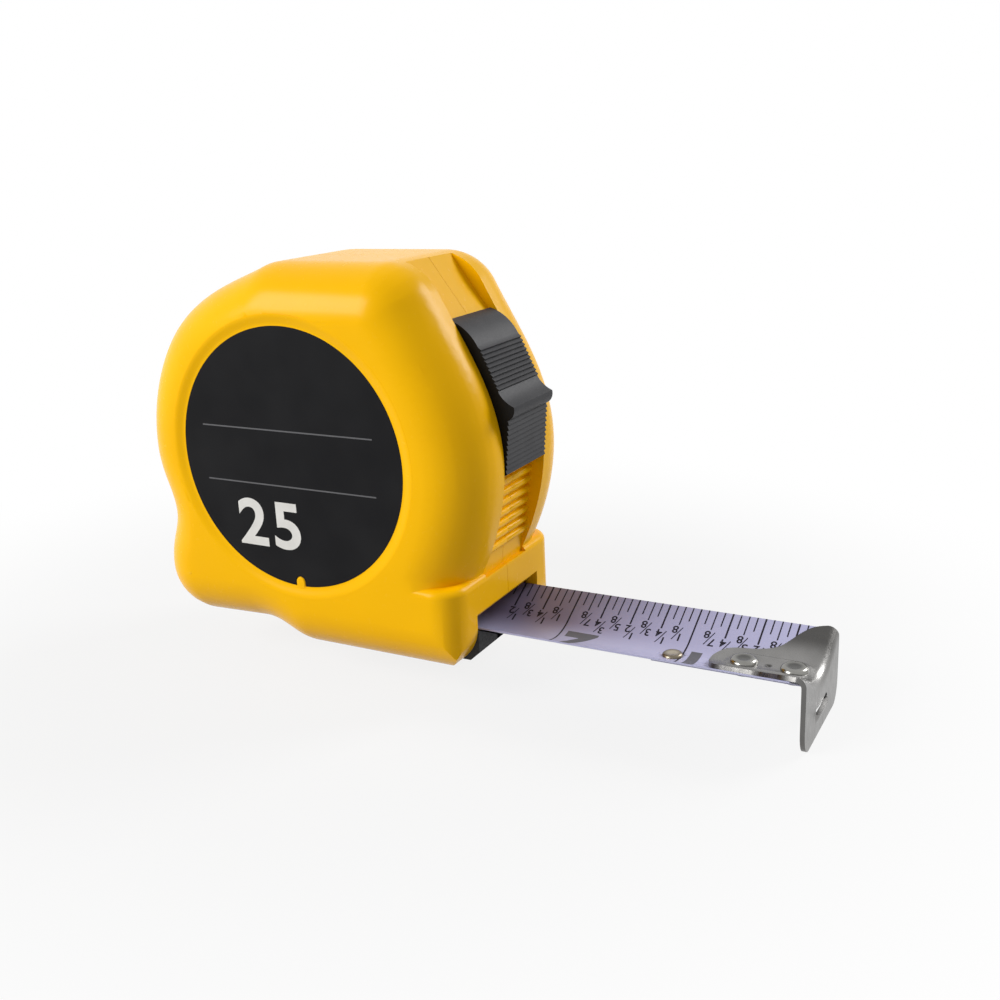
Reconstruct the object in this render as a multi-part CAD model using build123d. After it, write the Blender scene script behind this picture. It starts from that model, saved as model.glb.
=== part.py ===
from build123d import *
import math
import os

# A 25 ft pocket tape measure, blade locked about 60 mm out.
# Frame: X forward along the blade, Y across (label side at -Y), Z up.
# The origin is on the flat base, on the middle plane, under the reel's axis. All sizes in mm.

# Case
half_width = 21.0
shoulder_radius = 10.5
hollow_steps = [(2.3, 14.0), (3.7, 16.8), (5.2, 18.8)]
parting_gap = 0.1
case_top = 77.0
chamber_rear = {"x": 0.1, "z": 39.4, "radius": 38.0}
chamber_front = {"x": -0.8, "z": 42.3, "radius": 40.4}
rear_foot_x = -38.6
rear_foot_z = 3.1
nose_front_x = 35.2
nose_corner_radius = 5.5
nose_top_radius = 1.6
waist_z = 18.2
corner_radius = 10.8
nose_lower_radius = 9.0

# Reel
reel_x = 0.0
reel_z = 40.5
post_radius = 3.95
bore_clearance = 0.05
post_half_length = 17.4
boss_radius = 7.0
boss_face_y = 14.0
reel_inner_radius = 15.6
reel_outer_radius = 17.0
reel_half_width = 12.9
web_thickness = 1.2
coil_radius = 29.5
coil_half_width = 12.5
washer_radius = 28.0
washer_y = 13.2
washer_thickness = 0.4

# Power spring: half turns of growing radius
spring_first_radius = 4.9
spring_step = 1.0
spring_half_turns = 10
spring_strip = 0.5
spring_half_width = 10.5

# Channel for the thumb slide, concentric with the arc that the slide runs on
slide_x = -5.0
slide_z = 41.5
floor_radius = 42.0
floor_top_deg = 36.5
floor_bottom_deg = -8.0
channel_half_width = 8.25
floor_wall = 2.0
channel_end_z = 17.2
floor_rib_radius = 0.8
floor_rib_pitch = 2.14
floor_rib_count = 8
slot_half_width = 3.3
slot_degrees = (4.2, 24.2)

# Thumb slide
slide_half_width = 8.0
slide_back_radius = 42.55
slide_top_deg = 35.7
slide_bottom_deg = -4.8
stem_degrees = (5.0, 15.0)
stem_half_width = 3.0
arm_radii = (37.9, 39.5)
arm_degrees = (18.0, -50.0)
leaf_radii = (37.2, 37.5)
leaf_degrees = (40.8, 12.0)

# Blade section: straight wings and a round middle
edge_z = 8.5
blade_half_width = 12.2
wing_angle = 27.0
middle_radius = 11.0
blade_thickness = 0.25
blade_zero_x = 96.5
blade_end_x = 94.5
blade_tail_x = 27.0
lead_end_x = -3.8
lead_end_z = 10.9
plate_thickness = 0.4
plate_start_x = 67.0

# Mouth
mouth_half_width = 12.7
mouth_rear_x = 28.8
lip_z = 10.0
lip_chamfer = 1.3
bumper_front_x = 35.2
bumper_bottom_z = 1.6

# Hook
hook_thickness = 0.9
hook_gap = 0.05
hook_half_width = 12.1
hook_bottom_z = -5.4
hook_tip_x = 76.2
hook_bend_radius = 1.0
hook_corner_radius = 2.6
hook_play = 0.9
hook_rivet_xs = (83.1, 92.3)
stiffener_rivet_x = 69.5
rivet_shank_radius = 1.2
rivet_head_radius = 2.4

# Label disc
label_radius = 25.6
label_thickness = 0.6
recess_depth = 1.2
recess_radius = 27.7

# Screws and belt clip
case_screw_places = [(19.8, 67.2), (28.4, 14.6), (-29.2, 12.2)]
screw_shank_radius = 1.45
screw_seat_y = 17.5
screw_head_hole_radius = 2.9
clip_screw_z = 56.5
clip_half_width = 8.0
clip_thickness = 1.0


def polar(radius, degrees, x=slide_x, z=slide_z):
    angle = math.radians(degrees)
    return (x + radius * math.cos(angle), z + radius * math.sin(angle))


def across(face, y_low, y_high):
    """Extrude a face drawn in (x, z) from y_low to y_high."""
    solid = extrude(Plane.XZ * face, amount=y_high - y_low)
    return Pos(0, y_high, 0) * solid


def along(face, x_low, x_high):
    """Extrude a face drawn in (y, z) from x_low to x_high."""
    solid = extrude(Plane.YZ * face, amount=x_high - x_low)
    return Pos(x_low, 0, 0) * solid


def rod(x, z, radius, y_low, y_high):
    """A cylinder along Y."""
    return across(Pos(x, z) * Circle(radius), y_low, y_high)


def polygon(points):
    return make_face(Polyline(*points, close=True))


def arc_band(inner, outer, start_deg, end_deg, x=slide_x, z=slide_z):
    """A flat ring sector about (x, z)."""
    middle_deg = (start_deg + end_deg) / 2
    place = {"x": x, "z": z}
    edges = [
        ThreePointArc(polar(inner, start_deg, **place), polar(inner, middle_deg, **place),
                      polar(inner, end_deg, **place)),
        Line(polar(inner, end_deg, **place), polar(outer, end_deg, **place)),
        ThreePointArc(polar(outer, end_deg, **place), polar(outer, middle_deg, **place),
                      polar(outer, start_deg, **place)),
        Line(polar(outer, start_deg, **place), polar(inner, start_deg, **place)),
    ]
    return make_face(Wire(edges))


def case_profile():
    """The side outline of the case."""
    top_rear = (-2.0, case_top)
    rear_crest = [(-8.6, 75.9), (-16.6, 72.9), (-30.3, 64.2), (-37.0, 52.0)]
    rear_extreme = (-38.8, 40.0)
    rear_waist = (-35.9, 25.5)
    rear_knee = (rear_foot_x, rear_foot_z + corner_radius)
    rear_foot = (rear_foot_x + corner_radius, rear_foot_z)
    arch = (-13.5, rear_foot_z + 0.5)
    base_rear = (-0.6, 0.0)
    base_front = (nose_front_x - 0.4 - corner_radius, 0.0)
    nose_knee = (nose_front_x - 0.4, corner_radius)
    front_waist = (34.4, waist_z)
    belly = [(31.2, 65.4), (37.0, 54.2), (39.9, 42.3), (39.0, 31.0)]
    front_top = (25.2, case_top)
    outline = [
        Line(top_rear, front_top),
        Spline(front_top, *belly, front_waist),
        Line(front_waist, nose_knee),
        RadiusArc(nose_knee, base_front, corner_radius),
        Line(base_front, base_rear),
        Spline(base_rear, arch, tangents=[(-1, 0), (-1, 0)]),
        Line(arch, rear_foot),
        RadiusArc(rear_foot, rear_knee, corner_radius),
        Spline(rear_knee, rear_waist, rear_extreme, tangents=[(0, 1), (0, 1)]),
        Spline(rear_extreme, *reversed(rear_crest), top_rear, tangents=[(0, 1), (1, 0)]),
    ]
    face = make_face(Wire(outline))
    top_corner = face.vertices().sort_by_distance((*front_top, 0))[0]
    return fillet(top_corner, corner_radius)


def nose_block():
    """The squarer block round the mouth, with tighter corners than the body above it."""
    rear_x = 8.0
    length = nose_front_x - rear_x
    plan = Pos(rear_x + length / 2, 0) * Rectangle(length, 2 * half_width)
    front_corners = plan.vertices().group_by(Axis.X)[-1]
    plan = fillet(front_corners, nose_corner_radius)
    section = Pos(0, waist_z / 2) * Rectangle(2 * half_width, waist_z)
    section = fillet(section.vertices().group_by(Axis.Y)[0], shoulder_radius)
    side = Pos(rear_x + length / 2, waist_z / 2) * Rectangle(length, waist_z)
    lower_front = side.vertices().group_by(Axis.Y)[0].sort_by(Axis.X)[-1]
    side = fillet(lower_front, nose_lower_radius)
    block = extrude(plan, amount=waist_z)
    block = fillet(block.edges().group_by(Axis.Z)[-1], nose_top_radius)
    block &= along(section, rear_x - 1, nose_front_x + 1)
    block &= across(side, -half_width - 1, half_width + 1)
    return block


def case_body():
    """The outer form: the side outline carried across, its side edges rounded, and the nose."""
    body = across(case_profile(), -half_width, half_width)
    side_edges = body.edges().filter_by_position(Axis.Y, half_width - 0.01, half_width + 0.01)
    side_edges += body.edges().filter_by_position(Axis.Y, -half_width - 0.01, 0.01 - half_width)
    return fillet(side_edges, shoulder_radius) + nose_block()


def hollow_face(inset):
    """The side outline of the space inside: a round chamber for the reel, open to the nose."""
    rear = Pos(chamber_rear["x"], chamber_rear["z"]) * Circle(chamber_rear["radius"] - inset)
    front = Pos(chamber_front["x"], chamber_front["z"]) * Circle(chamber_front["radius"] - inset)
    ceiling = case_top - inset
    size = 100.0
    chamber = (rear & Pos(-size / 2, ceiling - size / 2) * Rectangle(size, size))
    chamber += (front & Pos(size / 2, ceiling - size / 2) * Rectangle(size, size))
    nose_width = 30.0
    nose_height = 17.0
    nose = Pos(nose_front_x - inset - nose_width / 2, inset + nose_height / 2)
    nose = nose * RectangleRounded(nose_width, nose_height, corner_radius - 2.4)
    return chamber + nose


def case_hollow():
    """The space inside, stepped in towards the sides under the rounded shoulders."""
    hollow = None
    for inset, depth in hollow_steps:
        layer = across(hollow_face(inset), -depth, depth)
        hollow = layer if hollow is None else hollow + layer
    return hollow


def channel_face(inset):
    """Everything in front of the channel floor, the floor drawn in by inset."""
    radius = floor_radius - inset
    top = polar(radius, floor_top_deg)
    bottom = polar(radius, floor_bottom_deg)
    top_run = 20.0
    top_angle = math.radians(floor_top_deg)
    bottom_angle = math.radians(floor_bottom_deg)
    above = (top[0] - top_run * math.sin(top_angle), top[1] + top_run * math.cos(top_angle))
    bottom_run = (bottom[1] - channel_end_z) / math.cos(bottom_angle)
    below = (bottom[0] + bottom_run * math.sin(bottom_angle), channel_end_z)
    outside_x = 60.0
    edges = [
        Line(above, top),
        ThreePointArc(top, polar(radius, (floor_top_deg + floor_bottom_deg) / 2), bottom),
        Line(bottom, below),
        Line(below, (outside_x, channel_end_z)),
        Line((outside_x, channel_end_z), (outside_x, above[1])),
        Line((outside_x, above[1]), above),
    ]
    return make_face(Wire(edges))


def floor_ribs():
    """Rounded ribs across the lower part of the channel floor."""
    start = polar(floor_radius, floor_bottom_deg)
    angle = math.radians(floor_bottom_deg)
    ribs = None
    for index in range(floor_rib_count):
        run = (index - 0.65) * floor_rib_pitch
        x = start[0] + run * math.sin(angle)
        z = start[1] - run * math.cos(angle)
        rib = rod(x, z, floor_rib_radius, -channel_half_width - 0.5, channel_half_width + 0.5)
        ribs = rib if ribs is None else ribs + rib
    return ribs


def label_recess():
    """A shallow dish with a soft rim in the near side."""
    floor_y = -half_width + recess_depth
    outside_y = -half_width - 2.0
    floor_edge = (label_radius + 0.3, floor_y)
    rim = (recess_radius + 0.6, -half_width - 0.5)
    far_rim = (recess_radius + 2.1, outside_y)
    edges = [
        Line((0, floor_y), floor_edge),
        Spline(floor_edge, rim, tangents=[(1, 0), (1, -1)]),
        Line(rim, far_rim),
        Line(far_rim, (0, outside_y)),
        Line((0, outside_y), (0, floor_y)),
    ]
    dish = revolve(make_face(Wire(edges)), Axis.Y, 360)
    return Pos(reel_x, 0, reel_z) * dish


def label_key():
    """The small pointed tab that the disc's notch fits over."""
    foot_z = reel_z - label_radius - 0.4
    outline = polygon([(-1.5, foot_z), (1.5, foot_z), (0.75, foot_z + 1.5), (0.7, foot_z + 2.6),
                       (0.0, foot_z + 3.3), (-0.7, foot_z + 2.6), (-0.75, foot_z + 1.5)])
    face_y = -half_width + recess_depth
    return across(outline, face_y - label_thickness - 0.1, face_y + 0.7)


def case_bosses():
    bosses = rod(reel_x, reel_z, boss_radius, boss_face_y, half_width - 1.0)
    bosses += rod(reel_x, reel_z, boss_radius, 1.0 - half_width, -boss_face_y)
    for x, z in case_screw_places:
        bosses += rod(x, z, 3.0, -19.5, 19.5)
        bosses += rod(x, z, 4.2, 14.0, 19.5)
    bosses += rod(reel_x, clip_screw_z, 3.2, 14.3, half_width - 1.0)
    seat = arc_band(36.4, floor_radius - 1.0, 38.0, 42.5)
    bosses += across(seat, -3.9, 3.9)
    return bosses


def case_holes():
    holes = rod(reel_x, reel_z, post_radius + bore_clearance,
                -post_half_length - 0.1, post_half_length + 0.1)
    for x, z in case_screw_places:
        holes += rod(x, z, screw_shank_radius + 0.05, -14.5, screw_seat_y + 0.1)
    holes += rod(reel_x, clip_screw_z, screw_shank_radius + 0.05, 15.0, half_width + 1.0)
    leaf_slot = arc_band(leaf_radii[0] - 0.05, leaf_radii[1] + 0.05, 37.0, leaf_degrees[0] + 0.2)
    holes += across(leaf_slot, -3.1, 3.1)
    blade_bed = Pos(14.0, 0, 3.8) * Box(31.0, 11.4, 4.6)
    holes += blade_bed
    stem_slot = arc_band(floor_radius - floor_wall - 1.5, floor_radius + 1.5, *slot_degrees)
    holes += across(stem_slot, -slot_half_width, slot_half_width)
    return holes


def mouth():
    """The opening in the nose, with a chamfered upper lip."""
    opening = polygon([
        (mouth_rear_x, -3.0), (nose_front_x + 6.0, -3.0),
        (nose_front_x + 6.0, lip_z + lip_chamfer + 6.0),
        (nose_front_x - lip_chamfer, lip_z), (mouth_rear_x, lip_z),
    ])
    return across(opening, -mouth_half_width, mouth_half_width)


def make_case():
    outer = case_body() - label_recess()
    for x, z in case_screw_places:
        outer -= rod(x, z, screw_head_hole_radius, screw_seat_y, half_width + 3.0)
    channel_wall = channel_half_width + floor_wall
    hollow = case_hollow() - across(channel_face(floor_wall), -channel_wall, channel_wall)
    shell = outer - hollow
    shell += case_bosses() & outer
    shell -= across(channel_face(0), -channel_half_width, channel_half_width)
    shell += floor_ribs() & outer
    shell -= case_holes()
    shell -= mouth()
    shell += label_key()
    return shell


def split_case(shell, side):
    """The half of the case on one side of the middle plane."""
    half_size = 100.0
    keep = Box(2 * half_size, half_size, 2 * half_size)
    keep = Pos(0, side * (half_size / 2 + parting_gap / 2), 0) * keep
    return shell & keep


def make_label_disc():
    outer_y = -half_width + recess_depth - label_thickness
    disc = rod(reel_x, reel_z, label_radius, outer_y, -half_width + recess_depth)
    notch = Box(2.0, 4.0, 6.2) + Pos(0, 0, -2.0) * Box(3.4, 4.0, 4.6)
    disc -= Pos(reel_x, outer_y, reel_z - label_radius) * notch
    return disc


def saw(start, end, count, depth):
    """Points of count saw teeth from start to end, each tooth standing out by depth."""
    run_x = (end[0] - start[0]) / count
    run_z = (end[1] - start[1]) / count
    length = math.hypot(run_x, run_z)
    out_x, out_z = -run_z / length, run_x / length
    points = []
    for index in range(count):
        x = start[0] + index * run_x
        z = start[1] + index * run_z
        points.append((x, z))
        points.append((x + 0.75 * run_x + depth * out_x, z + 0.75 * run_z + depth * out_z))
    return points + [end]


def make_lock_button():
    """The thumb slide: a curved pad with grip teeth, a push nub and a stem through the slot."""
    top_back = polar(slide_back_radius, slide_top_deg)
    bottom_back = polar(slide_back_radius, slide_bottom_deg)
    crown = (35.5, 61.5)
    nub_top = (39.2, 53.6)
    nub_peak = (42.3, 50.9)
    nub_under = (40.9, 48.3)
    bottom_front = (40.0, 37.9)
    upper_teeth = Polyline(*saw(crown, nub_top, 10, 0.35))
    lower_teeth = Polyline(*saw(nub_under, bottom_front, 11, 0.35))
    edges = [
        ThreePointArc(top_back, (33.1, 64.5), crown),
        *upper_teeth.edges(),
        ThreePointArc(nub_top, (40.6, 51.9), nub_peak),
        ThreePointArc(nub_peak, (42.1, 49.3), nub_under),
        *lower_teeth.edges(),
        Line(bottom_front, bottom_back),
        ThreePointArc(bottom_back, polar(slide_back_radius, 15.0), top_back),
    ]
    pad = across(make_face(Wire(edges)), -slide_half_width, slide_half_width)
    stem = arc_band(arm_radii[1], slide_back_radius + 0.3, *stem_degrees)
    return pad + across(stem, -stem_half_width, stem_half_width)


def make_brake_arm():
    """A curved arm under the slide that ends in a foot over the blade."""
    arm = across(arc_band(*arm_radii, *arm_degrees), -stem_half_width, stem_half_width)
    heel = polar(arm_radii[0], arm_degrees[1] + 2.0)
    toe = polar(arm_radii[1], arm_degrees[1] + 2.0)
    foot = polygon([heel, (heel[0] - 2.6, 8.2), (heel[0] - 1.4, 7.3), (toe[0] - 1.6, 7.3), toe])
    return arm + across(foot, -stem_half_width, stem_half_width)


def make_detent_spring():
    leaf = across(arc_band(*leaf_radii, *leaf_degrees), -stem_half_width, stem_half_width)
    return leaf


def trough(upper, lower, half_width_now, angle=wing_angle, radius=middle_radius, shift_z=0.0):
    """Blade-like section between two offsets from the blade's upper surface, drawn in (y, z)."""
    slope = math.radians(angle)
    tangent_y = radius * math.sin(slope)
    rise = radius * (1 - math.cos(slope)) + (blade_half_width - tangent_y) * math.tan(slope)
    centre_z = edge_z - rise + radius + shift_z

    def side(offset_now):
        reach = radius + offset_now
        knee = (reach * math.sin(slope), centre_z - reach * math.cos(slope))
        tip_z = knee[1] + (half_width_now - knee[0]) * math.tan(slope)
        return knee, (half_width_now, tip_z), (0, centre_z - reach)

    knee_up, tip_up, low_up = side(-upper)
    knee_down, tip_down, low_down = side(-lower)

    def flip(point):
        return (-point[0], point[1])

    edges = [
        Line(flip(tip_up), flip(knee_up)),
        ThreePointArc(flip(knee_up), low_up, knee_up),
        Line(knee_up, tip_up),
        Line(tip_up, tip_down),
        Line(tip_down, knee_down),
        ThreePointArc(knee_down, low_down, flip(knee_down)),
        Line(flip(knee_down), flip(tip_down)),
        Line(flip(tip_down), flip(tip_up)),
    ]
    return make_face(Wire(edges))


def middle_axis_z():
    """Height of the axis that the round middle of the blade turns about."""
    slope = math.radians(wing_angle)
    tangent_y = middle_radius * math.sin(slope)
    rise = middle_radius * (1 - math.cos(slope)) + (blade_half_width - tangent_y) * math.tan(slope)
    return edge_z - rise + middle_radius


def lengthwise_rod(radius, x_low, x_high):
    """A cylinder about the blade's middle axis."""
    return along(Pos(0, middle_axis_z()) * Circle(radius), x_low, x_high)


def upright(x, radius, z_low, z_high):
    return Pos(x, 0, z_low) * Cylinder(radius, z_high - z_low,
                                       align=(Align.CENTER, Align.CENTER, Align.MIN))


def make_blade_strip():
    strip = along(trough(0, -blade_thickness, blade_half_width), blade_tail_x, blade_end_x)
    for x in hook_rivet_xs:
        strip -= upright(x, rivet_shank_radius + 0.03, -5, 10)
    strip -= upright(stiffener_rivet_x, 1.03, -5, 10)
    return strip


def make_blade_lead():
    """The stretch that flattens out between the mouth and the coil."""
    start = Pos(blade_tail_x, 0, 0) * (Plane.YZ * trough(0, -blade_thickness, blade_half_width))
    flat_angle = 2.0
    flat_radius = middle_radius * math.sin(math.radians(wing_angle)) / math.sin(math.radians(flat_angle))
    slope = math.radians(flat_angle)
    flat_rise = flat_radius * (1 - math.cos(slope))
    flat_rise += (blade_half_width - flat_radius * math.sin(slope)) * math.tan(slope)
    shift = lead_end_z - edge_z
    end_face = trough(0, -blade_thickness, blade_half_width, flat_angle, flat_radius, shift)
    end = Pos(lead_end_x, 0, 0) * (Plane.YZ * end_face)
    return loft([start, end], ruled=True)


def make_backing_plate():
    inner = middle_radius + blade_thickness
    plate = lengthwise_rod(inner + plate_thickness, plate_start_x, blade_end_x)
    plate -= lengthwise_rod(inner, plate_start_x - 1, blade_end_x + 1)
    plate &= Pos((plate_start_x + blade_end_x) / 2, 0, 0) * Box(60, 9.6, 20)
    for x in hook_rivet_xs:
        plate -= upright(x, rivet_shank_radius + 0.03, -5, 10)
    plate -= upright(stiffener_rivet_x, 1.03, -5, 10)
    return plate


def under_trough(drop, front_x, bend_radius):
    """Everything under a surface that lies drop above the blade, its front edge rounded."""
    slope = math.radians(wing_angle)
    reach = middle_radius - drop
    knee = (reach * math.sin(slope), middle_axis_z() - reach * math.cos(slope))
    far_y = hook_half_width + 2.0
    far_z = knee[1] + (far_y - knee[0]) * math.tan(slope)
    bottom_z = hook_bottom_z - 4.0
    edges = [
        Line((-far_y, far_z), (-knee[0], knee[1])),
        ThreePointArc((-knee[0], knee[1]), (0, middle_axis_z() - reach), knee),
        Line(knee, (far_y, far_z)),
        Line((far_y, far_z), (far_y, bottom_z)),
        Line((far_y, bottom_z), (-far_y, bottom_z)),
        Line((-far_y, bottom_z), (-far_y, far_z)),
    ]
    block = along(make_face(Wire(edges)), hook_tip_x - 5.0, front_x)
    front_edges = block.edges().filter_by_position(Axis.X, front_x - 0.01, front_x + 0.01)
    top_edges = [edge for edge in front_edges
                 if abs(edge.center().Y) < far_y - 0.1 and edge.center().Z > bottom_z + 0.1]
    return fillet(top_edges, bend_radius)


def make_end_hook():
    """Tongue over the blade and leg across its end, bent from one strip."""
    front_x = blade_zero_x + hook_thickness
    hook = under_trough(hook_gap + hook_thickness, front_x, hook_bend_radius + hook_thickness)
    hook -= under_trough(hook_gap, blade_zero_x, hook_bend_radius)

    flare = [(94.6, hook_half_width), (91.3, 10.6), (89.7, 8.0), (88.4, 5.7), (86.2, 4.7),
             (81.8, 4.9), (78.2, 4.1)]
    mirrored = [(x, -y) for x, y in reversed(flare)]
    end_x = front_x + 2.0
    plan = [
        Line((end_x, hook_half_width), flare[0]),
        Spline(*flare, tangents=[(-1, 0), (-0.6, -1)]),
        ThreePointArc(flare[-1], (hook_tip_x, 0), mirrored[0]),
        Spline(*mirrored, tangents=[(0.6, -1), (1, 0)]),
        Line(mirrored[-1], (end_x, -hook_half_width)),
        Line((end_x, -hook_half_width), (end_x, hook_half_width)),
    ]
    hook &= Pos(0, 0, -20) * extrude(make_face(Wire(plan)), amount=50)

    outline_height = 40.0
    outline = Pos(0, hook_bottom_z + outline_height / 2) * Rectangle(2 * hook_half_width, outline_height)
    outline = fillet(outline.vertices().group_by(Axis.Y)[0], hook_corner_radius)
    hook &= along(outline, hook_tip_x - 5.0, end_x)

    nail_slit = Pos(-0.7, -0.5) * RectangleRounded(7.7, 1.4, 0.5)
    hook -= along(nail_slit, blade_zero_x - 1, end_x)
    for x in hook_rivet_xs:
        slot_width = 2 * (rivet_shank_radius + 0.05)
        slot = Pos(x + hook_play / 2, 0, 0) * SlotCenterToCenter(hook_play + 0.1, slot_width)
        hook -= extrude(slot, amount=20)
    return hook


def rivet(x, shank_radius, head_radius, head_offset):
    """A domed rivet: head seated on the round middle, tail spread under the backing plate."""
    seat_z = middle_axis_z() - middle_radius + head_offset
    dome_height = 1.1
    dome_radius = (head_radius ** 2 + dome_height ** 2) / (2 * dome_height)
    dome = Pos(x, 0, seat_z + 0.25 + dome_height - dome_radius) * Sphere(dome_radius)
    head = upright(x, head_radius, seat_z - 1.0, seat_z + 4.0) & dome
    head &= lengthwise_rod(middle_radius - head_offset, x - 5, x + 5)
    under = middle_radius + blade_thickness + plate_thickness
    tail_z = middle_axis_z() - under - 0.35
    shank = upright(x, shank_radius, tail_z + 0.2, seat_z + 0.6)
    tail = upright(x, shank_radius + 0.9, tail_z, tail_z + 1.5) - lengthwise_rod(under, x - 5, x + 5)
    return head + shank + tail


def make_hook_rivets():
    head_offset = 2 * hook_gap + hook_thickness
    rivets = [rivet(x, rivet_shank_radius, rivet_head_radius, head_offset) for x in hook_rivet_xs]
    return Compound(children=rivets)


def make_bumper():
    """Rubber block under the blade in the mouth, its front edge chamfered."""
    gap = blade_thickness + 0.3
    half = mouth_half_width - 0.05
    side = polygon([
        (mouth_rear_x + 0.02, bumper_bottom_z), (33.2, bumper_bottom_z), (bumper_front_x, 3.5),
        (bumper_front_x, 12.0), (mouth_rear_x + 0.02, 12.0),
    ])
    block = across(side, -half, half)
    slope = math.radians(wing_angle)
    reach = middle_radius + gap
    axis_z = middle_axis_z()
    knee = (reach * math.sin(slope), axis_z - reach * math.cos(slope))
    far_y = 20.0
    far_z = knee[1] + (far_y - knee[0]) * math.tan(slope)
    roof = polygon([(-knee[0], knee[1]), (knee[0], knee[1]), (far_y, far_z), (far_y, 30.0),
                    (-far_y, 30.0), (-far_y, far_z)])
    block -= along(roof, 20.0, 50.0)
    block -= lengthwise_rod(reach, 20.0, 50.0)
    groove_half_width = 5.4
    groove_floor_z = bumper_bottom_z + 0.75
    groove = Pos(0, groove_floor_z + 10) * Rectangle(2 * groove_half_width, 20)
    block -= along(groove, 20.0, 50.0)
    return block


def make_reel_hub():
    hub = rod(reel_x, reel_z, reel_outer_radius, -reel_half_width, reel_half_width)
    hub -= rod(reel_x, reel_z, reel_inner_radius, -reel_half_width - 1, reel_half_width - web_thickness)
    hub -= rod(reel_x, reel_z, post_radius + 0.1, -20, 20)
    return hub


def make_reel_cover():
    cover = rod(reel_x, reel_z, reel_inner_radius - 0.05, -reel_half_width,
                web_thickness - reel_half_width)
    cover -= rod(reel_x, reel_z, post_radius + 0.1, -20, 20)
    return cover


def make_blade_coil():
    coil = rod(reel_x, reel_z, coil_radius, -coil_half_width, coil_half_width)
    coil -= rod(reel_x, reel_z, reel_outer_radius + 0.05, -20, 20)
    return coil


def make_power_spring():
    """Spiral of half rings; every second one turns about a centre one step to the side."""
    spring = None
    for index in range(spring_half_turns):
        radius = spring_first_radius + index * spring_step
        upper = index % 2 == 0
        x = reel_x if upper else reel_x - spring_step
        start, end = (0.0, 180.0) if upper else (180.0, 360.0)
        ring = arc_band(radius - spring_strip / 2, radius + spring_strip / 2, start, end, x, reel_z)
        turn = across(ring, -spring_half_width, spring_half_width)
        spring = turn if spring is None else spring + turn
    return spring


def make_centre_post():
    post = rod(reel_x, reel_z, post_radius, -post_half_length, post_half_length)
    post -= Pos(reel_x, 0, reel_z) * Box(12, 2 * spring_half_width + 1, 0.9)
    return post


def make_side_washers():
    washers = []
    for low in (washer_y, -washer_y - washer_thickness):
        disc = rod(reel_x, reel_z, washer_radius, low, low + washer_thickness)
        disc -= rod(reel_x, reel_z, post_radius + bore_clearance, low - 1, low + 2)
        washers.append(disc)
    return Compound(children=washers)


def make_belt_clip():
    """A bent spring strip on the far side, screwed down at its upper end."""
    seat_y = half_width + clip_thickness / 2
    path = FilletPolyline(
        (seat_y, 63.5), (seat_y, 48.5), (26.2, 42.5), (26.2, 27.0), (22.1, 17.5), (24.6, 11.0),
        radius=1.8)
    strip = trace(path, line_width=clip_thickness)
    clip = along(strip, -clip_half_width, clip_half_width)
    clip -= rod(reel_x, clip_screw_z, screw_shank_radius + 0.1, half_width - 1, half_width + 3)
    upper_corners = clip.edges().filter_by(Axis.Y).group_by(Axis.Z)[-1]
    return fillet(upper_corners, 3.0)


def screw(x, z, seat_y, tip_y, head_radius, head_height):
    """A pan-head screw along Y with a cross recess."""
    body = rod(x, z, screw_shank_radius, tip_y, seat_y)
    head = rod(x, z, head_radius, seat_y, seat_y + head_height)
    head = fillet(head.edges().sort_by(Axis.Y)[-1], head_height * 0.45)
    cross = Box(head_radius * 1.2, 1.6, 0.7) + Box(0.7, 1.6, head_radius * 1.2)
    return body + head - Pos(x, seat_y + head_height, z) * cross


def make_case_screws():
    screws = [screw(x, z, screw_seat_y, -14.0, 2.7, 1.8) for x, z in case_screw_places]
    return Compound(children=screws)


case_shell = make_case()
nodes = {
    "case_left": split_case(case_shell, -1),
    "case_right": split_case(case_shell, 1),
    "label_disc": make_label_disc(),
    "lock_button": make_lock_button(),
    "mouth_bumper": make_bumper(),
    "blade_strip": make_blade_strip(),
    "end_hook": make_end_hook(),
    "hook_rivets": make_hook_rivets(),
    "stiffener_rivet": rivet(stiffener_rivet_x, 1.0, 2.0, 0.0),
    "backing_plate": make_backing_plate(),
    "blade_lead": make_blade_lead(),
    "blade_coil": make_blade_coil(),
    "reel_hub": make_reel_hub(),
    "reel_cover": make_reel_cover(),
    "power_spring": make_power_spring(),
    "centre_post": make_centre_post(),
    "side_washers": make_side_washers(),
    "brake_arm": make_brake_arm(),
    "detent_spring": make_detent_spring(),
    "belt_clip": make_belt_clip(),
    "belt_clip_screw": screw(reel_x, clip_screw_z, half_width + clip_thickness, 15.5, 3.4, 1.7),
    "case_screws": make_case_screws(),
}

os.makedirs("parts", exist_ok=True)
for name, shape in nodes.items():
    solids = shape.solids()
    box = shape.bounding_box()
    print(f"{name:16s} solids {len(solids)} volume {shape.volume:9.1f} "
          f"x {box.min.X:6.1f}..{box.max.X:5.1f} y {box.min.Y:6.1f}..{box.max.Y:5.1f} "
          f"z {box.min.Z:6.1f}..{box.max.Z:5.1f}")
    export_step(shape, f"parts/{name}.step")
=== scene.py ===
import math

import bmesh
import bpy
from mathutils import Matrix, Vector


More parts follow.
